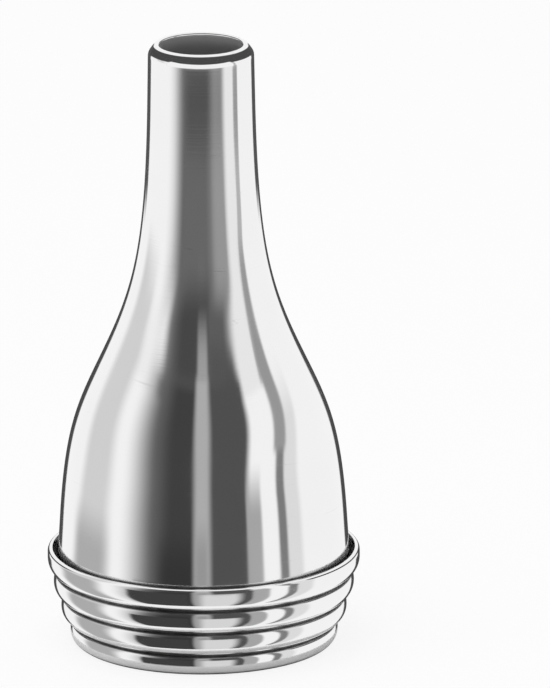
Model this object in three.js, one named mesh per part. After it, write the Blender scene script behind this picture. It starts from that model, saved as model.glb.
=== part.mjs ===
// Ear speculum: a hand-held metal funnel. The slim tip goes into the ear canal, the fingers hold the ribbed collar,
// and the doctor looks in through the wide end. Millimetres, +Z up. The origin is the middle of the collar's flat
// base, and the tip points up.
//
// Every piece is round about the Z axis. Its outline is drawn as radius against height, up the outside, over the top
// and down the inside, and is then turned once round.

import * as THREE from 'three';

// Overall
const overallLength = 37.2;
const turnSteps = 56;

// Funnel shell: tip and neck
const tipDiameter = 6.38;
const rimThickness = 0.69;
const rimRollLength = 1.8;
const rimRound = 0.16;
const domeDrop = 0.15;
const bevelDrop = 0.42;
const bevelLean = THREE.MathUtils.degToRad(35);
const shoulderInset = 0.1;
const shoulderRise = 0.32;
const shoulderReachShare = 0.38;
const neckLength = 2.65;
const neckLean = THREE.MathUtils.degToRad(1);

// Funnel shell: waist, where the hollow curve below the neck turns into the full curve of the bell
const waistDiameter = 11.92;
const waistLean = THREE.MathUtils.degToRad(25);
const bellRise = 10.38;
const neckReachShare = 0.578;
const waistUpperReachShare = 0.281;
const waistLowerReachShare = 0.36;
const bellReachShare = 0.556;

// Funnel shell: skirt of the bell, and the spigot that its foot is drawn in to
const bellDiameter = 17.33;
const skirtLean = THREE.MathUtils.degToRad(3.5);
const skirtRise = 2.07;
const shellWall = 0.4;
const spigotLength = 1.2;
const spigotStep = 0.55;
const swageRise = 0.95;
const swageReachShare = 0.45;

// Grip collar: ribs from the base up, each one wider than the one below. The flat base cuts the lowest one short
const ribCount = 4;
const ribPitch = 1.53;
const baseCut = 0.32;
const ribSpread = 1.34;
const ribCrown = 0.1;
const grooveDepth = 0.25;
const cupCornerShare = 0.2;
const crestShare = 0.62;
const shoulderShare = 0.92;

// Grip collar: base, seat, recess and lip
const baseTuck = 0.37;
const baseWall = 0.46;
const ledgeMargin = 0.2;
const recessDepth = 1.06;
const recessWidth = 0.335;
const lipWall = 0.3;
const lipRound = 0.26;

// Fits between the pieces
const spigotClearance = 0.05;
const solderFilm = 0.03;
const solderSag = 0.05;

// Steps along the curves of the outlines
const swageSteps = 6;
const solderSwageSteps = 3;
const bellSteps = 8;
const flareSteps = 10;
const neckSteps = 6;
const shoulderSteps = 4;
const domeSteps = 4;
const rimRoundSteps = 4;
const lipRoundSteps = 4;
const lipEdgeSteps = 2;
const ribSteps = 4;
const solderSteps = 4;

function at(radius, height) {
  return new THREE.Vector2(radius, height);
}

// The point at a distance up a slope that leans in towards the axis
function upSlope(start, lean, distance) {
  return at(start.x - Math.sin(lean) * distance, start.y + Math.cos(lean) * distance);
}

// A rise that leaves one point and arrives at the other along their own slopes
function smoothRise(from, fromLean, fromShare, to, toLean, toShare) {
  const rise = to.y - from.y;
  const leaving = upSlope(from, fromLean, rise * fromShare);
  const arriving = upSlope(to, toLean, -rise * toShare);
  return new THREE.CubicBezierCurve(from, leaving, arriving, to);
}

// Part of a circle over the top edge of a wall, from its outside towards its inside
function overTop(centre, round, from, to, steps) {
  return new THREE.EllipseCurve(centre.x, centre.y, round, round, from, to).getPoints(steps);
}

function turned(outline) {
  const geometry = new THREE.LatheGeometry([...outline, outline[0]], turnSteps);
  geometry.rotateX(Math.PI / 2);
  return geometry;
}

// Heights and radii that the shell, the collar and the solder share
const collarHeight = ribCount * ribPitch - baseCut;
const recessFloor = collarHeight - recessDepth;
const seatHeight = recessFloor - spigotLength;
const bellHeight = recessFloor + swageRise + skirtRise;
const bellRadius = bellDiameter / 2;
const skirtFoot = at(bellRadius + Math.tan(skirtLean) * skirtRise, bellHeight - skirtRise);
const spigotRadius = skirtFoot.x - spigotStep;
const spigotTop = at(spigotRadius, recessFloor);
const swage = smoothRise(spigotTop, 0, swageReachShare, skirtFoot, skirtLean, swageReachShare);

// The collar's seat: a bore round the spigot, and a cone that opens from it to the lip
const lipEdge = lipWall - lipRound;
const lipInner = at(skirtFoot.x + recessWidth, collarHeight - lipEdge);
const seatTop = at(spigotRadius + spigotClearance, recessFloor);

// The tip from the neck up: a rounded shoulder, a bevel, a dome and a round that turns down into the bore
const boreTop = at(tipDiameter / 2 - rimThickness, overallLength - rimRound);
const bevelFoot = at(tipDiameter / 2 - shoulderInset, overallLength - bevelDrop);
const neckTop = at(tipDiameter / 2, bevelFoot.y - shoulderRise);

// The curves of the shell's outside, from its foot to the foot of the bevel
function shellCurves() {
  const foot = at(spigotRadius, seatHeight);
  const bell = at(bellRadius, bellHeight);
  const waist = at(waistDiameter / 2, bellHeight + bellRise);
  const neckFoot = upSlope(neckTop, neckLean, -neckLength);
  return [
    { curve: new THREE.LineCurve(foot, spigotTop), steps: 1 },
    { curve: swage, steps: swageSteps },
    { curve: new THREE.LineCurve(skirtFoot, bell), steps: 1 },
    {
      curve: smoothRise(bell, skirtLean, bellReachShare, waist, waistLean, waistLowerReachShare),
      steps: bellSteps,
    },
    {
      curve: smoothRise(waist, waistLean, waistUpperReachShare, neckFoot, neckLean, neckReachShare),
      steps: flareSteps,
    },
    { curve: new THREE.LineCurve(neckFoot, neckTop), steps: neckSteps },
    {
      curve: smoothRise(neckTop, neckLean, shoulderReachShare, bevelFoot, bevelLean, shoulderReachShare),
      steps: shoulderSteps,
    },
  ];
}

// The wall is even up to the last stretch of the neck, where it is rolled inward to the thickness of the rim
function wallAt(height) {
  const rolled = THREE.MathUtils.smoothstep(height, boreTop.y - rimRollLength, boreTop.y);
  return THREE.MathUtils.lerp(shellWall, rimThickness, rolled);
}

// The bevel, the dome over the top edge, and the round into the bore
function rimOutline() {
  const bevelTop = at(bevelFoot.x - Math.tan(bevelLean) * (bevelDrop - domeDrop), overallLength - domeDrop);
  const corner = at(bevelTop.x - Math.tan(bevelLean) * domeDrop, overallLength);
  const dome = new THREE.QuadraticBezierCurve(bevelTop, corner, at(boreTop.x + rimRound, overallLength));
  const round = overTop(at(boreTop.x + rimRound, boreTop.y), rimRound, Math.PI / 2, Math.PI, rimRoundSteps);
  return [...dome.getPoints(domeSteps), ...round.slice(1)];
}

// The inside keeps the wall's thickness, which is measured square to the slope of the outside. The shoulder has no
// line of its own inside, because the bore runs straight past it
function funnelShell() {
  const outside = [];
  const inside = [];
  shellCurves().forEach(({ curve, steps }, part) => {
    for (let i = part === 0 ? 0 : 1; i <= steps; i += 1) {
      const point = curve.getPoint(i / steps);
      const rising = curve.getTangent(i / steps);
      outside.push(point);
      if (point.y <= neckTop.y) {
        inside.unshift(at(point.x - wallAt(point.y) / rising.y, point.y));
      }
    }
  });
  return turned([...outside, ...rimOutline(), ...inside]);
}

// The crests stand on a slightly crowned cone that widens from the base to the lip
function crestRadius(rib) {
  const topCrest = lipInner.x + lipWall;
  const share = rib / Math.max(ribCount - 1, 1);
  return topCrest - ribSpread * (1 - share) + ribCrown * 4 * share * (1 - share);
}

// A rib is a shallow cup. It swells out from the groove below it to its crest
function cupOutline(crest, lower, top) {
  const up = (share) => THREE.MathUtils.lerp(lower.y, top, share);
  const cup = new THREE.QuadraticBezierCurve(lower, at(crest, up(cupCornerShare)), at(crest, up(crestShare)));
  return cup.getPoints(ribSteps).slice(1);
}

// The shoulder of a rib turns in from its crest to the groove above
function shoulderOutline(from, top, groove) {
  const corner = at(from.x, THREE.MathUtils.lerp(top - ribPitch, top, shoulderShare));
  return new THREE.QuadraticBezierCurve(from, corner, groove).getPoints(ribSteps).slice(1);
}

function gripCollar() {
  const baseEdge = at(crestRadius(0) - baseTuck, 0);
  const outside = [baseEdge];
  for (let rib = 0; rib < ribCount; rib += 1) {
    const crest = crestRadius(rib);
    const top = (rib + 1) * ribPitch - baseCut;
    outside.push(...cupOutline(crest, outside.at(-1), top));
    if (rib < ribCount - 1) {
      outside.push(...shoulderOutline(outside.at(-1), top, at(crest - grooveDepth, top)));
    }
  }
  const quarter = Math.PI / 2;
  const lip = [
    ...overTop(at(lipInner.x + lipEdge, collarHeight - lipRound), lipRound, 0, quarter, lipRoundSteps),
    ...overTop(at(lipInner.x + lipEdge, lipInner.y), lipEdge, quarter, Math.PI, lipEdgeSteps).slice(1),
  ];
  const ledgeRadius = spigotRadius - shellWall - ledgeMargin;
  const inside = [
    seatTop,
    at(seatTop.x, seatHeight),
    at(ledgeRadius, seatHeight),
    at(baseEdge.x - baseWall, 0),
  ];
  return turned([...outside, ...lip, ...inside]);
}

// The solder fills the foot of the recess. It keeps a film's clearance to the swage and to the cone, and its top
// sags a little between the two
function solderSeam() {
  const coneSlope = (lipInner.x - seatTop.x) / (lipInner.y - seatTop.y);
  const wetted = swage.getPoints(swageSteps).slice(1, solderSwageSteps + 1);
  const inner = wetted.map((point) => at(point.x + solderFilm, point.y));
  const outer = wetted.map((point) => {
    return at(seatTop.x + coneSlope * (point.y - seatTop.y) - solderFilm, point.y);
  });
  const outerTop = outer.at(-1);
  const innerTop = inner.at(-1);
  const sag = at((outerTop.x + innerTop.x) / 2, outerTop.y - solderSag);
  const top = new THREE.QuadraticBezierCurve(outerTop, sag, innerTop);
  return turned([...outer, ...top.getPoints(solderSteps).slice(1), ...inner.reverse().slice(1)]);
}

function platedMetal() {
  return new THREE.MeshStandardMaterial({ color: 0xdcdcdc, metalness: 1, roughness: 0.12 });
}

function dullSolder() {
  return new THREE.MeshStandardMaterial({ color: 0x8c8c8a, metalness: 1, roughness: 0.45 });
}

function piece(name, geometry, material) {
  const mesh = new THREE.Mesh(geometry, material);
  mesh.name = name;
  return mesh;
}

const speculum = new THREE.Group();
speculum.add(piece('funnel_shell', funnelShell(), platedMetal()));
speculum.add(piece('grip_collar', gripCollar(), platedMetal()));
speculum.add(piece('solder_seam', solderSeam(), dullSolder()));

export default speculum;
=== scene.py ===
# %% [markdown]
# # An ear speculum, plated mirror-bright
# A metal funnel for looking into the ear stands on its wide end. Three pieces make it: a thin spun shell,
# a ribbed collar to hold it by, and the ring of solder that joins the two. The CAD model is loaded first
# and gives every place and size. What is made here are finer pieces with real finishes, which stand for
# the CAD ones.

# %% Load the CAD model
import math

import bmesh
import bpy
from mathutils import Matrix, Vector, geometry, noise


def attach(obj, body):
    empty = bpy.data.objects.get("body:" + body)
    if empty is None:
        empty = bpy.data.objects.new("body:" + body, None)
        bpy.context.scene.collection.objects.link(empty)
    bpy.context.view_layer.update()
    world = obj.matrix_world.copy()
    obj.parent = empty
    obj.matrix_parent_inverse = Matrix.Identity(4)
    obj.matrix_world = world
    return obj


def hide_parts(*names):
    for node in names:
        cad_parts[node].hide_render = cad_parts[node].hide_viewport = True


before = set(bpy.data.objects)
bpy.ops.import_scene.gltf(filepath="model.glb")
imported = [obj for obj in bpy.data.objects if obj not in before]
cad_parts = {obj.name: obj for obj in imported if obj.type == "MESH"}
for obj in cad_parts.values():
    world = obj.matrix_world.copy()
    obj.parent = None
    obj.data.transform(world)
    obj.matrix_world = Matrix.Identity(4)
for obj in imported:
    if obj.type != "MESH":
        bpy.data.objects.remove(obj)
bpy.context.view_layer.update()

print("CAD nodes:", sorted(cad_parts))

# %% [markdown]
# ## The camera
# Small metal instruments are photographed with a long lens from some way off, so that round forms stay
# true. The camera looks down at 16 degrees, and the funnel's foot lies left of the middle of the picture.
# The camera is turned a quarter of a degree, because the funnel leans by that much in the picture.

# %% Aim a long lens at the middle of the picture
MM = 0.001
PICTURE = (550, 688)
PIXELS_PER_MM = 16.53
BASE_PIXEL = (204.2, 637.3)
LOOK_DOWN = math.radians(16)
ROLL = math.radians(0.25)
DISTANCE = 1.1

toward = Vector((0, math.cos(LOOK_DOWN), -math.sin(LOOK_DOWN)))
turn = Matrix.Rotation(ROLL, 3, toward)
right = turn @ Vector((1, 0, 0))
up = right.cross(toward)
across, above = PICTURE[0] / 2 - BASE_PIXEL[0], BASE_PIXEL[1] - PICTURE[1] / 2
middle = (right * across + up * above) / PIXELS_PER_MM * MM

lens = bpy.data.cameras.new("long_lens")
lens.lens = DISTANCE * lens.sensor_width / (PICTURE[1] / PIXELS_PER_MM * MM)
lens.clip_start, lens.clip_end = 0.1, 10
camera = bpy.data.objects.new("camera", lens)
aim = Matrix((right, up, -toward)).transposed().to_4x4()
camera.matrix_world = Matrix.Translation(middle - toward * DISTANCE) @ aim
bpy.context.scene.collection.objects.link(camera)
bpy.context.scene.camera = camera
bpy.context.scene.view_settings.view_transform = "Standard"
print(f"lens {lens.lens:.0f} mm, {DISTANCE} m away")

# %% [markdown]
# ## Writing materials as sums
# A material is a tree of nodes, and most of them only do sums. `Value` holds the output of a node. Adding,
# multiplying or comparing values puts the Math node in the tree, so a pattern reads like the formula that
# it is. Every other node comes from `Value.make`, which takes its type, its settings and what goes into
# its sockets.

# %% A socket that can be reckoned with
PER_RADIAN = 180 / math.pi


class Value:
    def __init__(self, socket):
        self.socket = socket
        self.tree = socket.id_data

    @staticmethod
    def make(tree, kind, settings=None, sockets=None):
        node = tree.nodes.new(kind)
        for name, setting in (settings or {}).items():
            setattr(node, name, setting)
        for key, given in (sockets or {}).items():
            if isinstance(given, Value):
                tree.links.new(given.socket, node.inputs[key])
            else:
                node.inputs[key].default_value = given
        return node

    def math(self, operation, *others):
        sums = dict(enumerate((self, *others)))
        return Value(Value.make(self.tree, "ShaderNodeMath", {"operation": operation}, sums).outputs[0])

    def __add__(self, other):
        return self.math("ADD", other)

    def __mul__(self, other):
        return self.math("MULTIPLY", other)

    def __sub__(self, other):
        return self.math("SUBTRACT", other)

    def __truediv__(self, other):
        return self.math("DIVIDE", other)

    def __rsub__(self, other):
        return self.math("MULTIPLY", -1.0).math("ADD", other)

    def step(self, low, high):
        """Rises smoothly from 0 at low to 1 at high. With low above high it falls."""
        settings = {"interpolation_type": "SMOOTHSTEP"}
        sockets = {"Value": self, "From Min": low, "From Max": high}
        return Value(Value.make(self.tree, "ShaderNodeMapRange", settings, sockets).outputs["Result"])

    def plateau(self, low, rising, falling, high):
        """0 up to low, 1 from rising to falling, and 0 again from high."""
        return self.step(low, rising) * self.step(high, falling)

    def band(self, low, high, soft):
        """1 between low and high, and 0 outside, with soft edges."""
        return self.plateau(low - soft, low, high, high + soft)

    def toward(self, other, amount):
        """This value, drawn towards the other one by an amount from 0 to 1."""
        sockets = {"Factor": amount, "A": self, "B": other}
        mix = Value.make(self.tree, "ShaderNodeMix", {"data_type": "FLOAT"}, sockets)
        return Value(mix.outputs["Result"])


def new_material(name):
    material = bpy.data.materials.new(name)
    material.use_nodes = True
    material.node_tree.nodes.clear()
    return material, material.node_tree


def output(tree, shader):
    Value.make(tree, "ShaderNodeOutputMaterial", sockets={"Surface": Value(shader.outputs[0])})


def grey(tree, value):
    """One value as a colour."""
    combined = Value.make(tree, "ShaderNodeCombineColor", sockets={0: value, 1: value, 2: value})
    return Value(combined.outputs[0])


def place_on(tree):
    """The point's place on the piece in millimetres: across, deep, up, and its distance from the axis."""
    place = Value(Value.make(tree, "ShaderNodeTexCoord").outputs["Object"])
    split = Value.make(tree, "ShaderNodeSeparateXYZ", sockets={"Vector": place})
    x, y, z = (Value(split.outputs[i]) * (1 / MM) for i in range(3))
    return x, y, z, (x * x + y * y).math("SQRT")


def bearing(x, y):
    """Degrees round the axis, counted from the camera, and positive to the right in the picture."""
    return x.math("ARCTAN2", y * -1) * PER_RADIAN


def mixed(tree, amount, first, second):
    """Two shaders mixed, the second one by an amount from 0 to 1."""
    sockets = {0: amount, 1: Value(first.outputs[0]), 2: Value(second.outputs[0])}
    return Value.make(tree, "ShaderNodeMixShader", sockets=sockets)


print("sums ready")

# %% [markdown]
# ## Light and the floor
# A mirror has no colour of its own: it shows the room. The world is a plain even light, and what the
# camera and the metal see of it is white. One broad lamp overhead gives the floor its soft shadow. The
# floor is pale and matt. Lightening it for the camera keeps the shadow and makes the rest white paper.
# Reflections pass through it outside the funnel's foot, so that the tent in the next cell also shows in
# the lower half of the metal.

# %% World, lamp and floor
WORLD_LIGHT = 0.55
LAMP_SIZE = 0.45
LAMP_PLACE, LAMP_AIM = Vector((-0.12, -0.1, 0.6)), Vector((0, 0, 0.01))
LAMP_LIGHT = 0.45  # how bright the lamp alone makes white paper under it
PAPER, FLOOR_RADIUS = 0.97, 0.6
LIGHTENED = 0.85
LIGHTENED_FROM, CLEAR_FROM = (7.4, 7.6), (8.8, 9.4)  # millimetres from the axis

world = bpy.data.worlds.new("plain_light")
world.use_nodes = True
bpy.context.scene.world = world
sky = world.node_tree
sky.nodes.clear()
seen = Value.make(sky, "ShaderNodeLightPath").outputs
direct = Value(seen["Is Camera Ray"]).math("MAXIMUM", Value(seen["Is Glossy Ray"]))
direct = direct.math("MAXIMUM", Value(seen["Is Transmission Ray"]))
background = Value.make(sky, "ShaderNodeBackground", sockets={
    "Color": (1, 1, 1, 1),
    "Strength": direct * (1 - WORLD_LIGHT) + WORLD_LIGHT,
})
Value.make(sky, "ShaderNodeOutputWorld", sockets={"Surface": Value(background.outputs[0])})

lamp_data = bpy.data.lights.new("softbox", "AREA")
lamp_data.shape = "SQUARE"
lamp_data.size = LAMP_SIZE
lamp_data.energy = LAMP_LIGHT * math.pi ** 2 * LAMP_PLACE.z ** 2
softbox = bpy.data.objects.new("softbox", lamp_data)
softbox.location = LAMP_PLACE
softbox.rotation_euler = (LAMP_AIM - LAMP_PLACE).to_track_quat("-Z", "Y").to_euler()
softbox.visible_glossy = False
bpy.context.scene.collection.objects.link(softbox)


def new_piece(name, mesh_builder, *materials, smooth=True):
    """Turns a finished bmesh into an object in the scene, with its materials."""
    mesh = bpy.data.meshes.new(name)
    mesh_builder.to_mesh(mesh)
    mesh_builder.free()
    if smooth:
        mesh.shade_smooth()
    for material in materials:
        mesh.materials.append(material)
    piece = bpy.data.objects.new(name, mesh)
    bpy.context.scene.collection.objects.link(piece)
    return piece


paper, tree = new_material("pale_floor")
_, _, _, from_axis = place_on(tree)
seen = Value.make(tree, "ShaderNodeLightPath").outputs
matt = Value.make(tree, "ShaderNodeBsdfDiffuse", sockets={"Color": (PAPER, PAPER, PAPER, 1)})
bright = Value.make(tree, "ShaderNodeEmission", sockets={"Color": (1, 1, 1, 1), "Strength": 1.0})
clear = Value.make(tree, "ShaderNodeBsdfTransparent")
lighten = Value(seen["Is Camera Ray"]) * from_axis.step(*LIGHTENED_FROM) * LIGHTENED
passed = Value(seen["Is Glossy Ray"]) * from_axis.step(*CLEAR_FROM)
output(tree, mixed(tree, passed, mixed(tree, lighten, matt, bright), clear))

disc = bmesh.new()
bmesh.ops.create_circle(disc, cap_ends=True, segments=64, radius=FLOOR_RADIUS)
floor = new_piece("floor", disc, paper, smooth=False)
print(f"lamp {lamp_data.energy:.2f} W at {LAMP_PLACE.z:.1f} m")

# %% [markdown]
# ## The light tent
# Shiny instruments are photographed in a tent of white cloth, with dark cards hung in it to draw their
# form. Here the tent is a sphere round the funnel that only reflections see. Tall cards hang from its top to
# its bottom: a wide grey one on the camera's side, a dark one in front of it, and a narrow one to the right
# of both. Their edges are soft. Angles count from the camera, and to the right in the picture they are
# positive.
#
# The upright neck shows the tent a little below the horizon, and the flare under it shows it higher and
# higher up. So what hangs at one height changes the neck or one part of the flare only. The tall cards are
# swung a few degrees with height, which sets the edges of the bands in each. Soft patches hang over them: a
# grey veil low down, which makes the neck's band paler, and higher up dark at the right of the flare's
# band, white at its left, and the start of the pale line that runs down the bell. Two dark cards behind
# draw a line down both edges of the metal.
#
# The last one is a dark hoop, bent so that the metal shows it wherever it slopes by 28 to 42 degrees. That
# is the slope of the bevel at the tip, so the hoop draws a dark line all round it. A mirror shows what
# lies as far to one side of its normal as the eye lies to the other, so the slope is found halfway between
# the hoop and the camera.

# %% Hang the tent
TENT_RADIUS, TENT_HEIGHT, TIP_HEIGHT = 500, 20, 37
WHITE, DARK = 1.0, 0.07
TALL_CARDS = [  # where it fades in and out round the horizon, and its brightness
    # Pale cloth at the right, the wide grey card, and the dark one in front of it
    ((40, 55, 68, 71), 0.9),
    ((-75, -30, 40, 55), 0.25),
    ((-60, -20, 10, 30), DARK),
    # The narrow card
    ((68, 71, 78, 81), 0.5),
]
SWINGS = [  # where it comes in, in height and round the horizon, and the degrees it swings the cards left
    ((5, 22), (62, 52), 6),
    ((-2, -9), (58, 66), -4),
]
TO_THE_TOP, TO_THE_BOTTOM = (90, 91), (-91, -90)
VEILED = (-12.3, -9.5, 2, 20)
PATCHES = [  # where it fades in and out round the horizon, where it fades in and out in height, brightness
    # Dark at the right of the flare's band
    ((12, 20, 35, 43), (4, 22, *TO_THE_TOP), 0.12),
    ((11, 21, 43, 51), (24, 32, *TO_THE_TOP), 0.1),
    # The veil over the neck's band, and a paler one at its right
    ((-42, -32, 12, 22), VEILED, 0.15),
    ((6, 32, 43, 48), VEILED, 0.34),
    # White at the left of the flare's band, the start of the pale line, and a grey streak at the far left
    ((-94, -80, -53, -39), (0, 22, *TO_THE_TOP), 0.95),
    ((-3, 2, 10, 15), (14, 34, *TO_THE_TOP), 0.38),
    ((-114, -104, -90, -80), (2, 10, *TO_THE_TOP), 0.75),
    # The narrow card is darker where the neck's upper end shows it
    ((66, 69, 78, 81), (*TO_THE_BOTTOM, -13, -9.5), 0.3),
]
BEHIND_FROM, BEHIND_UP_TO = (151, 154), (6, 3)
RAISED_FROM, RAISED = (168, 176), 7
WHITE_BELOW = (-30, -38)
HOOP_STARTS, HOOP_ENDS = (26, 28), (42, 45)

cloth, tree = new_material("tent_cloth")
x, y, z, from_axis = place_on(tree)
azimuth = bearing(x, y)
elevation = (z - TENT_HEIGHT).math("ARCTAN2", from_axis) * PER_RADIAN

swung = azimuth
for in_height, round_it, degrees in SWINGS:
    swung = swung + elevation.step(*in_height) * azimuth.step(*round_it) * degrees
wall = swung * 0 + WHITE
for round_it, brightness in TALL_CARDS:
    wall = wall.toward(brightness, swung.plateau(*round_it))
for round_it, in_height, brightness in PATCHES:
    wall = wall.toward(brightness, swung.plateau(*round_it) * elevation.plateau(*in_height))

# The dark cards behind, which reach a little higher in the middle, and white cloth under the funnel
behind = azimuth.math("ABSOLUTE")
up_to = elevation - behind.step(*RAISED_FROM) * RAISED
wall = wall.toward(DARK, behind.step(*BEHIND_FROM) * up_to.step(*BEHIND_UP_TO))
wall = wall.toward(WHITE, elevation.step(*WHITE_BELOW))

# The hoop
over_tip = z - TIP_HEIGHT
away = (from_axis * from_axis + over_tip * over_tip).math("SQRT")
facing = (over_tip * math.sin(LOOK_DOWN) - y * math.cos(LOOK_DOWN)) / away
halfway = (facing * 2 + 2).math("MAXIMUM", 0.01).math("SQRT")
slope = ((over_tip / away + math.sin(LOOK_DOWN)) / halfway).math("ARCSINE") * PER_RADIAN
wall = wall.toward(DARK, slope.step(*HOOP_STARTS)).toward(WHITE, slope.step(*HOOP_ENDS))
output(tree, Value.make(tree, "ShaderNodeEmission", sockets={"Color": grey(tree, wall)}))
cloth.cycles.emission_sampling = "NONE"

ball = bmesh.new()
bmesh.ops.create_uvsphere(ball, u_segments=96, v_segments=48, radius=TENT_RADIUS * MM)
bmesh.ops.translate(ball, verts=ball.verts, vec=(0, 0, TENT_HEIGHT * MM))
tent = new_piece("light_tent", ball, cloth)
tent.visible_camera = tent.visible_diffuse = tent.visible_shadow = tent.visible_transmission = False
print(f"tent with {len(TALL_CARDS)} tall cards and {len(PATCHES)} patches")

# %% [markdown]
# ## Cards close by
# The bell turns its bands straight down where a far-off tent would let them spread with its curve. Cards
# that stand close do that, because a mirror shows a near thing at another place than a far one. They stand
# in a ring 16 mm from the axis. Its lowest 5 mm show in the ribs, and from there to 24 mm it shows in the
# bell: white cloth, grey at the left, the dark middle with a pale line in it, a grey edge, and a dark
# stripe at the right. Cards higher up show only in the neck, where they darken both its edges, and at the
# tip, where one draws the light line round the shoulder. The cards lean: going down they come round
# towards the camera, the right ones more than the left.
#
# The ring is spun from one upright line. Its material is clear wherever there is no card, and where two of
# them overlap the later one hides the earlier.

# %% Stand the close cards in a ring
NEAR, RING_ENDS = 16, (-10, 50)
LEAN_FROM, LEAN_TO, LEAN_LEFT, LEAN_RIGHT = 10.5, 21.5, 0.12, 0.24
DOWN = -20
CLOSE_CARDS = [  # from and to round the ring, soft edge, from and to in height, soft ends, brightness
    # White cloth, and soft grey at the left and the right of it
    (-66, 64, 4, DOWN, 22, 1, 1.0),
    (-86, -69, 12, DOWN, 23, 1.7, 0.7),
    (-88, -70, 14, DOWN, 5, 4, 0.46),
    (54, 62, 5, DOWN, 18, 5, 0.8),
    # The dark band: its soft left edge, its darkest part, the same near the foot, and its right part
    (-29.5, -3, 25, DOWN, 23.5, 1.6, 0.15),
    (-18, -3, 18, DOWN, 23.5, 1.6, 0.056),
    (-20, -8, 12, DOWN, 5, 4, 0.04),
    (-3, 25, 5, DOWN, 23.5, 1.6, 0.088),
    # The grey edge low down at its right, and the pale line with its duller foot
    (27.5, 34.5, 2.5, DOWN, 9, 6, 0.42),
    (-3.2, 1.8, 4.5, DOWN, 24.4, 0.7, 0.46),
    (-2.5, 0.5, 4, DOWN, 6, 4, 0.34),
    # The dark stripe, with a softer top
    (48.2, 51.8, 2.5, DOWN, 23.5, 1.6, 0.22),
    (46.5, 53, 3, 16, 23.5, 1.6, 0.34),
    # Dark and pale in the ribs
    (-40, -10, 4, DOWN, 3.8, 0.7, 0.055),
    (2, 16, 7, DOWN, 3.6, 0.6, 0.74),
    # The light line round the tip's shoulder, and the neck's dark edges
    (-62, 50, 3, 34.2, 47, 0.5, 1.0),
    (99, 119, 3, 25.5, 37, 2.5, 0.09),
    (-138, -114, 3, 25.5, 37, 2.5, 0.09),
]

card_paint, tree = new_material("card_paint")
x, y, z, _ = place_on(tree)
azimuth = bearing(x, y)
lean = azimuth.math("SIGN") * ((LEAN_RIGHT - LEAN_LEFT) / 2) + (LEAN_RIGHT + LEAN_LEFT) / 2
azimuth = azimuth * (1 - z.step(LEAN_FROM, LEAN_TO) * lean)
covered = shade = z * 0
for start, end, soft, low, high, soft_ends, brightness in CLOSE_CARDS:
    card = azimuth.band(start, end, soft) * z.band(low, high, soft_ends)
    shade = shade.toward(brightness, card)
    covered = covered.toward(1.0, card)
shade = shade / covered.math("MAXIMUM", 0.001)
glow = Value.make(tree, "ShaderNodeEmission", sockets={"Color": grey(tree, shade)})
clear = Value.make(tree, "ShaderNodeBsdfTransparent")
output(tree, mixed(tree, covered, clear, glow))
card_paint.cycles.emission_sampling = "NONE"

ring = bmesh.new()
upright = [ring.verts.new((NEAR * MM, 0, height * MM)) for height in RING_ENDS]
line = ring.edges.new(upright)
bmesh.ops.spin(ring, geom=upright + [line], cent=(0, 0, 0), axis=(0, 0, 1), angle=math.tau, steps=96,
               use_merge=True, use_duplicate=False)
cards = new_piece("close_cards", ring, card_paint)
cards.visible_camera = cards.visible_diffuse = cards.visible_shadow = cards.visible_transmission = False
print(f"{len(CLOSE_CARDS)} cards, {NEAR} mm from the axis")

# %% [markdown]
# ## Bright plate
# Chrome or nickel plate on buffed brass: nearly a perfect mirror, a little softer than glass. The buffing
# wheel leaves fine rings round the axis, and use leaves hair scratches and a faint haze of handling. Painted
# shade darkens the colour and roughens the metal in the grooves, in the recesses and round the foot. Rings
# are noise that is squeezed along the axis. Hair scratches are the thin places where a stretched noise
# crosses its middle value. All of it reads Object coordinates, so it stays on the metal.

# %% Mirror plate, satin inside and solder
PLATE, PLATE_ROUGH = 0.85, 0.05
SCRATCH_WIDTH = 0.004
# The dark tone and the roughness of the painted shade
PAINTED_SHADE_TONE, PAINTED_SHADE_ROUGH = 0.16, 0.55
SATIN, SATIN_ROUGH = 0.6, 0.56
SOLDER, SOLDER_ROUGH = 0.3, 0.35
RING_DEPTH, CRUST_DEPTH = 0.04 * MM, 0.08 * MM


def noise_at(tree, x, y, z, detail=2.0, rough=0.5):
    """Noise from 0 to 1 at a point that is already scaled to the size of the pattern."""
    point = Value(Value.make(tree, "ShaderNodeCombineXYZ", sockets={0: x, 1: y, 2: z}).outputs[0])
    sockets = {"Vector": point, "Scale": 1.0, "Detail": detail, "Roughness": rough}
    return Value(Value.make(tree, "ShaderNodeTexNoise", sockets=sockets).outputs[0])


def hairlines(tree, x, y, z):
    """Thin lines where a noise crosses its middle value."""
    off = (noise_at(tree, x, y, z, detail=1.0) - 0.5).math("ABSOLUTE")
    return off.step(SCRATCH_WIDTH, 0.0)


def bumped(tree, height, strength, depth):
    sockets = {"Height": height, "Strength": strength, "Distance": depth}
    return Value(Value.make(tree, "ShaderNodeBump", sockets=sockets).outputs[0])


def metal(tree, colour, roughness, normal):
    shader = Value.make(tree, "ShaderNodeBsdfPrincipled", sockets={
        "Base Color": grey(tree, colour), "Metallic": 1.0, "Roughness": roughness, "Normal": normal})
    output(tree, shader)


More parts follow.
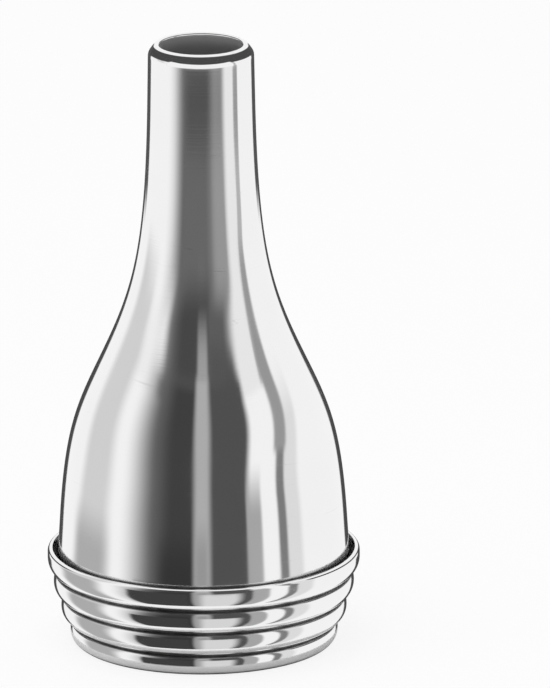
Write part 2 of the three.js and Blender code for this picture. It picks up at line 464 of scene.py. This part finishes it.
def bright_plate(name, painted_shade_at):
    """Mirror plate. painted_shade_at gives, from height and radius, how much painted shade lies at a point.
    """
    material, tree = new_material(name)
    x, y, z, radius = place_on(tree)
    haze = noise_at(tree, x * 0.16, y * 0.16, z * 0.16, detail=3.0)
    rings = noise_at(tree, x * 0.12, y * 0.12, z * 9.0, detail=3.0, rough=0.7)
    scratches = hairlines(tree, x * 0.06 + z * 0.02, y * 0.06, z * 1.6 + x * 0.12)
    scratches = scratches * noise_at(tree, x * 0.4, y * 0.4, z * 0.4).step(0.5, 0.7)
    # Painted shade: where its mask lies, the colour is drawn down to a dark tone and the metal is made
    # rougher
    painted_shade = painted_shade_at(z, radius) * (noise_at(tree, x, y, z) * 0.5 + 0.65)
    painted_shade = painted_shade.math("MINIMUM", 1.0)
    colour = haze * 0.05 + PLATE - scratches * 0.08
    roughness = haze.step(0.45, 0.75) * 0.05 + PLATE_ROUGH + rings * 0.03 + scratches * 0.15
    normal = bumped(tree, rings, 0.025, RING_DEPTH)
    metal(tree, colour.toward(PAINTED_SHADE_TONE, painted_shade), roughness.toward(PAINTED_SHADE_ROUGH, painted_shade), normal)
    return material


def satin_inside(name):
    """The inside is plated but never buffed: a soft grey with the turning marks of the tool."""
    material, tree = new_material(name)
    x, y, z, _ = place_on(tree)
    rings = noise_at(tree, x * 0.1, y * 0.1, z * 14.0, detail=4.0, rough=0.75)
    blotch = noise_at(tree, x * 0.35, y * 0.35, z * 0.35, detail=3.0)
    metal(tree, blotch * 0.14 + SATIN, rings * 0.12 + SATIN_ROUGH, bumped(tree, rings, 0.25, RING_DEPTH))
    return material


def soft_solder(name):
    """Solder sets dull, with small runs and pits, and is never polished in its recess."""
    material, tree = new_material(name)
    x, y, z, _ = place_on(tree)
    crust = noise_at(tree, x * 2.2, y * 2.2, z * 2.2, detail=5.0, rough=0.65)
    metal(tree, crust * 0.3 + SOLDER, crust * 0.25 + SOLDER_ROUGH, bumped(tree, crust, 0.5, CRUST_DEPTH))
    return material


print("finishes ready")

# %% [markdown]
# ## Turning an outline
# All three pieces are round, so each is one closed outline, drawn as radius against height and spun about
# the axis, as on a lathe. A spin keeps every ring true, which a mirror shows at once. 256 steps keep the
# edge of the picture free of corners. Sharp outside edges are then broken with a small bevel, as the
# polisher's wheel breaks them.

# %% Lathe helpers
STEPS = 256
SAME_POINT, MERGE = 1e-6, 1e-7
EDGE_BREAK, SHARP = 0.05, math.radians(35)


def at(radius, height):
    return Vector((radius, 0, height))


def up_slope(start, lean, distance):
    """The point at a distance up a slope that leans in towards the axis."""
    return at(start.x - math.sin(lean) * distance, start.z + math.cos(lean) * distance)


def rise(start, lean, reach, end, end_lean, end_reach, steps):
    """A curve that leaves one point and arrives at the other along their own slopes."""
    height = end.z - start.z
    leaving, arriving = up_slope(start, lean, height * reach), up_slope(end, end_lean, -height * end_reach)
    return geometry.interpolate_bezier(start, leaving, arriving, end, steps + 1)


def bend(start, corner, end, steps):
    """A curve that starts towards a corner and ends coming from it."""
    leaving, arriving = start.lerp(corner, 2 / 3), end.lerp(corner, 2 / 3)
    return geometry.interpolate_bezier(start, leaving, arriving, end, steps + 1)


def straight(start, end, steps):
    return [start.lerp(end, step / steps) for step in range(steps + 1)]


def quarter_round(centre, size, start, steps):
    """A quarter of a circle that starts at a number of quarter turns from straight out."""
    turns = (math.pi / 2 * (start + step / steps) for step in range(steps + 1))
    return [centre + at(math.cos(turn), math.sin(turn)) * size for turn in turns]


def joined(*runs):
    """Runs of points end to end, without the points that two of them share."""
    line = []
    for run in runs:
        line += [point for point in run if not line or (point - line[-1]).length > SAME_POINT]
    return line


def spun(outline, break_edges=True):
    """Spins a closed outline in millimetres about the axis, and can break its sharp outside corners."""
    turned = bmesh.new()
    corners = [turned.verts.new(point * MM) for point in outline]
    lines = [turned.edges.new((a, b)) for a, b in zip(corners, corners[1:] + corners[:1])]
    bmesh.ops.spin(turned, geom=corners + lines, cent=(0, 0, 0), axis=(0, 0, 1), angle=math.tau, steps=STEPS,
                   use_merge=True, use_duplicate=False)
    bmesh.ops.remove_doubles(turned, verts=turned.verts, dist=MERGE)
    bmesh.ops.recalc_face_normals(turned, faces=turned.faces)
    if break_edges:
        sharp = [edge for edge in turned.edges if edge.calc_face_angle_signed(0) > SHARP]
        bmesh.ops.bevel(turned, geom=sharp, offset=EDGE_BREAK * MM, offset_type="OFFSET", affect="EDGES",
                        segments=3, profile=0.5, material=-1)
    return turned


def mark_inside(turned, top):
    """Faces that look at the axis take the second material, up to a height in millimetres."""
    low = [face for face in turned.faces if face.calc_center_median().z < top * MM]
    inner = [face for face in low if face.normal.xy.dot(face.calc_center_median().xy) < 0]
    for face in inner:
        face.material_index = 1
    return len(inner)


print("lathe ready")

# %% [markdown]
# ## The funnel shell
# The shell is spun from thin brass over a form. The neck leans in by one degree. A hollow curve opens it
# to the waist, and a full curve closes the bell down to its skirt. The foot is drawn in to a spigot that
# stands in the collar. The outside line is drawn first, and the inside follows it at the thickness of the
# wall. At the tip the wall is rolled inward, and its thick edge gets a shoulder, a bevel and a dome, all
# rounded, so that nothing sharp goes into the ear.

# %% Outline and spin of the shell
LENGTH = 37.2
TIP_RADIUS, RIM, ROLL_LENGTH, RIM_ROUND = 6.38 / 2, 0.69, 1.8, 0.16
DOME_DROP, BEVEL_DROP, BEVEL_LEAN = 0.15, 0.42, math.radians(35)
SHOULDER_INSET, SHOULDER_RISE, SHOULDER_REACH = 0.1, 0.32, 0.38
NECK, NECK_LEAN, NECK_REACH = 2.65, math.radians(1), 0.578
WAIST, WAIST_LEAN = at(11.92 / 2, 18.14), math.radians(25)
WAIST_REACH_UP, WAIST_REACH_DOWN = 0.281, 0.36
BELL, BELL_REACH = at(17.33 / 2, 7.76), 0.556
SKIRT, SKIRT_LEAN = 2.07, math.radians(3.5)
SKIRT_FOOT = BELL + at(SKIRT * math.tan(SKIRT_LEAN), -SKIRT)
SWAGE, SWAGE_REACH = at(0.55, 0.95), 0.45
SPIGOT = SKIRT_FOOT - SWAGE
SEAT = 3.54
WALL = 0.4
# Heights and radii of the painted shade on the bell's foot, behind the lip
BEHIND_LIP, OUTSIDE = (SKIRT_FOOT.z + 0.2, SKIRT_FOOT.z + 0.05), (7.9, 8.1)

bore_top = at(TIP_RADIUS - RIM, LENGTH - RIM_ROUND)
bevel_foot = at(TIP_RADIUS - SHOULDER_INSET, LENGTH - BEVEL_DROP)
bevel_top = bevel_foot + at(-(BEVEL_DROP - DOME_DROP) * math.tan(BEVEL_LEAN), BEVEL_DROP - DOME_DROP)
dome_corner = bevel_top + at(-DOME_DROP * math.tan(BEVEL_LEAN), DOME_DROP)
top = at(bore_top.x + RIM_ROUND, LENGTH)
neck_top = at(TIP_RADIUS, bevel_foot.z - SHOULDER_RISE)
neck_foot = up_slope(neck_top, NECK_LEAN, -NECK)
outside = joined(
    [at(SPIGOT.x, SEAT), SPIGOT],
    rise(SPIGOT, 0, SWAGE_REACH, SKIRT_FOOT, SKIRT_LEAN, SWAGE_REACH, steps=16),
    straight(SKIRT_FOOT, BELL, steps=4),
    rise(BELL, SKIRT_LEAN, BELL_REACH, WAIST, WAIST_LEAN, WAIST_REACH_DOWN, steps=48),
    rise(WAIST, WAIST_LEAN, WAIST_REACH_UP, neck_foot, NECK_LEAN, NECK_REACH, steps=60),
    straight(neck_foot, neck_top, steps=16),
)
rim = joined(
    rise(neck_top, NECK_LEAN, SHOULDER_REACH, bevel_foot, BEVEL_LEAN, SHOULDER_REACH, steps=12),
    straight(bevel_foot, bevel_top, steps=4),
    bend(bevel_top, dome_corner, top, steps=12),
    quarter_round(top - at(0, RIM_ROUND), RIM_ROUND, 1, steps=10),
)


def smooth_share(value, low, high):
    share = min(max((value - low) / (high - low), 0), 1)
    return share * share * (3 - 2 * share)


def inside_of(line):
    """The wall's inner side, level with each point of the line. Its thickness is square to the slope."""
    inner = []
    for i, point in enumerate(line):
        slope = (line[min(i + 1, len(line) - 1)] - line[max(i - 1, 0)]).normalized()
        wall = WALL + (RIM - WALL) * smooth_share(point.z, bore_top.z - ROLL_LENGTH, bore_top.z)
        inner.append(at(point.x - wall / slope.z, point.z))
    return inner


turned = spun(joined(outside, rim, inside_of(outside)[::-1]))
inner_faces = mark_inside(turned, bore_top.z)


def painted_shade_on_shell(height, radius):
    """Painted shade on the outside, where the foot of the bell goes down behind the lip."""
    return height.step(*BEHIND_LIP) * radius.step(*OUTSIDE)


plate, satin = bright_plate("bright_shell", painted_shade_on_shell), satin_inside("satin_bore")
shell = new_piece("spun_shell", turned, plate, satin)
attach(shell, "root")
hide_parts("funnel_shell")
print(f"shell: {len(shell.data.polygons)} faces, {inner_faces} inside, bore {bore_top.x * 2:.2f} mm")

# %% [markdown]
# ## The grip collar
# The collar is turned from thicker metal. Four ribs, each a shallow cup with a rounded shoulder, give the
# fingers a hold. They widen from the flat base to the lip, which stands free round the foot of the bell.
# Each rib is two bends: one swells out from the groove below, and the other turns in over the shoulder to
# the groove above. The top rib has no groove above it. It is rounded over to the thin edge of the lip.

# %% Outline and spin of the collar
RIBS, PITCH, BASE_CUT = 4, 1.53, 0.32
RIB_SPREAD, RIB_CROWN, GROOVE = 1.34, 0.1, 0.25
CUP_CORNER, WIDEST, SHOULDER_DROP = 0.2, 0.62, 0.08  # shares of a rib's height, the last of a full rib's
COLLAR_TOP = RIBS * PITCH - BASE_CUT
LIP, LIP_ROUND, RECESS_WIDTH = 0.3, 0.26, 0.335
LIP_EDGE = LIP - LIP_ROUND
LIP_INNER = at(SKIRT_FOOT.x + RECESS_WIDTH, COLLAR_TOP - LIP_EDGE)
BASE_TUCK, BASE_WALL = 0.37, 0.46
SEAT_GAP, LEDGE_MARGIN = 0.05, 0.2
# Where the painted shade lies: the grooves, the recess behind the lip, and a painted contact shadow round
# the foot
GROOVES, RECESS, FOOT = (1.0, 4.5), (4.7, COLLAR_TOP - 0.25), (0.2, 0.06)
FROM_ROOT, INSIDE_LIP, FADE = (0.16, 0.07), (LIP_INNER.x, LIP_INNER.x - 0.1), 0.1


def crest_radius(rib):
    share = rib / (RIBS - 1)
    return LIP_INNER.x + LIP - RIB_SPREAD * (1 - share) + RIB_CROWN * 4 * share * (1 - share)


base_edge = at(crest_radius(0) - BASE_TUCK, 0)
ribs = [base_edge]
for rib in range(RIBS):
    crest, root = crest_radius(rib), ribs[-1]
    rib_top = (rib + 1) * PITCH - BASE_CUT
    corner, widest = (at(crest, root.z + (rib_top - root.z) * share) for share in (CUP_CORNER, WIDEST))
    ribs = joined(ribs, bend(root, corner, widest, steps=14))
    if rib < RIBS - 1:
        shoulder = at(crest, rib_top - PITCH * SHOULDER_DROP)
        ribs = joined(ribs, bend(widest, shoulder, at(crest - GROOVE, rib_top), steps=14))
lip_edge = LIP_INNER + at(LIP_EDGE, 0)
lip = joined(
    quarter_round(at(lip_edge.x, COLLAR_TOP - LIP_ROUND), LIP_ROUND, 0, steps=14),
    quarter_round(lip_edge, LIP_EDGE, 1, steps=6),
)
seat_radius = SPIGOT.x + SEAT_GAP
seat = [
    at(seat_radius, SPIGOT.z),
    at(seat_radius, SEAT),
    at(SPIGOT.x - WALL - LEDGE_MARGIN, SEAT),
    at(base_edge.x - BASE_WALL, 0),
]
turned = spun(joined(ribs, lip, seat))
inner_faces = mark_inside(turned, SPIGOT.z)


def painted_shade_on_collar(height, radius):
    """Painted shade in the roots of the three grooves and down in the recess behind the lip, and a painted
    contact shadow round the foot.
    """
    from_root = (height - (PITCH - BASE_CUT)).math("PINGPONG", PITCH / 2)
    grooves = from_root.step(*FROM_ROOT) * height.band(*GROOVES, FADE)
    recess = radius.step(*INSIDE_LIP) * height.band(*RECESS, FADE)
    return grooves.math("MAXIMUM", recess).math("MAXIMUM", height.step(*FOOT))


plate, satin = bright_plate("bright_collar", painted_shade_on_collar), satin_inside("satin_seat")
collar = new_piece("ribbed_collar", turned, plate, satin)
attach(collar, "root")
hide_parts("grip_collar")
full_width = crest_radius(RIBS - 1) * 2
print(f"collar: {len(collar.data.polygons)} faces, {inner_faces} inside, {full_width:.2f} mm wide")

# %% [markdown]
# ## The solder
# Solder was run into the recess between the bell's foot and the lip, and joins the two. It lies as a
# narrow ring with a hollow top, because hot solder climbs both walls. It is spun as the others are, and
# then its top is made a little uneven with noise that depends only on the place, so that it is the same
# each time.

# %% Outline and spin of the solder
FILM, SAG = 0.03, 0.05
UNEVEN, UNEVEN_SCALE = 0.03, 0.9
swage = rise(SPIGOT, 0, SWAGE_REACH, SKIRT_FOOT, SKIRT_LEAN, SWAGE_REACH, steps=6)[1:4]
cone_slope = (LIP_INNER.x - seat_radius) / (LIP_INNER.z - SPIGOT.z)
wet_outer = [at(seat_radius + cone_slope * (point.z - SPIGOT.z) - FILM, point.z) for point in swage]
wet_inner = [at(point.x + FILM, point.z) for point in swage]
dip = wet_outer[-1].lerp(wet_inner[-1], 0.5) - at(0, SAG)
top = bend(wet_outer[-1], dip, wet_inner[-1], steps=12)
turned = spun(joined(wet_outer, top, wet_inner[::-1]), break_edges=False)
for vertex in turned.verts:
    share = (vertex.co.z / MM - swage[0].z) / (swage[-1].z - swage[0].z)
    vertex.co.z += (noise.noise(vertex.co / MM * UNEVEN_SCALE) - 1) * UNEVEN * MM * share

solder = new_piece("solder_ring", turned, soft_solder("dull_solder"))
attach(solder, "root")
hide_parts("solder_seam")
print(f"solder: {len(solder.data.polygons)} faces")
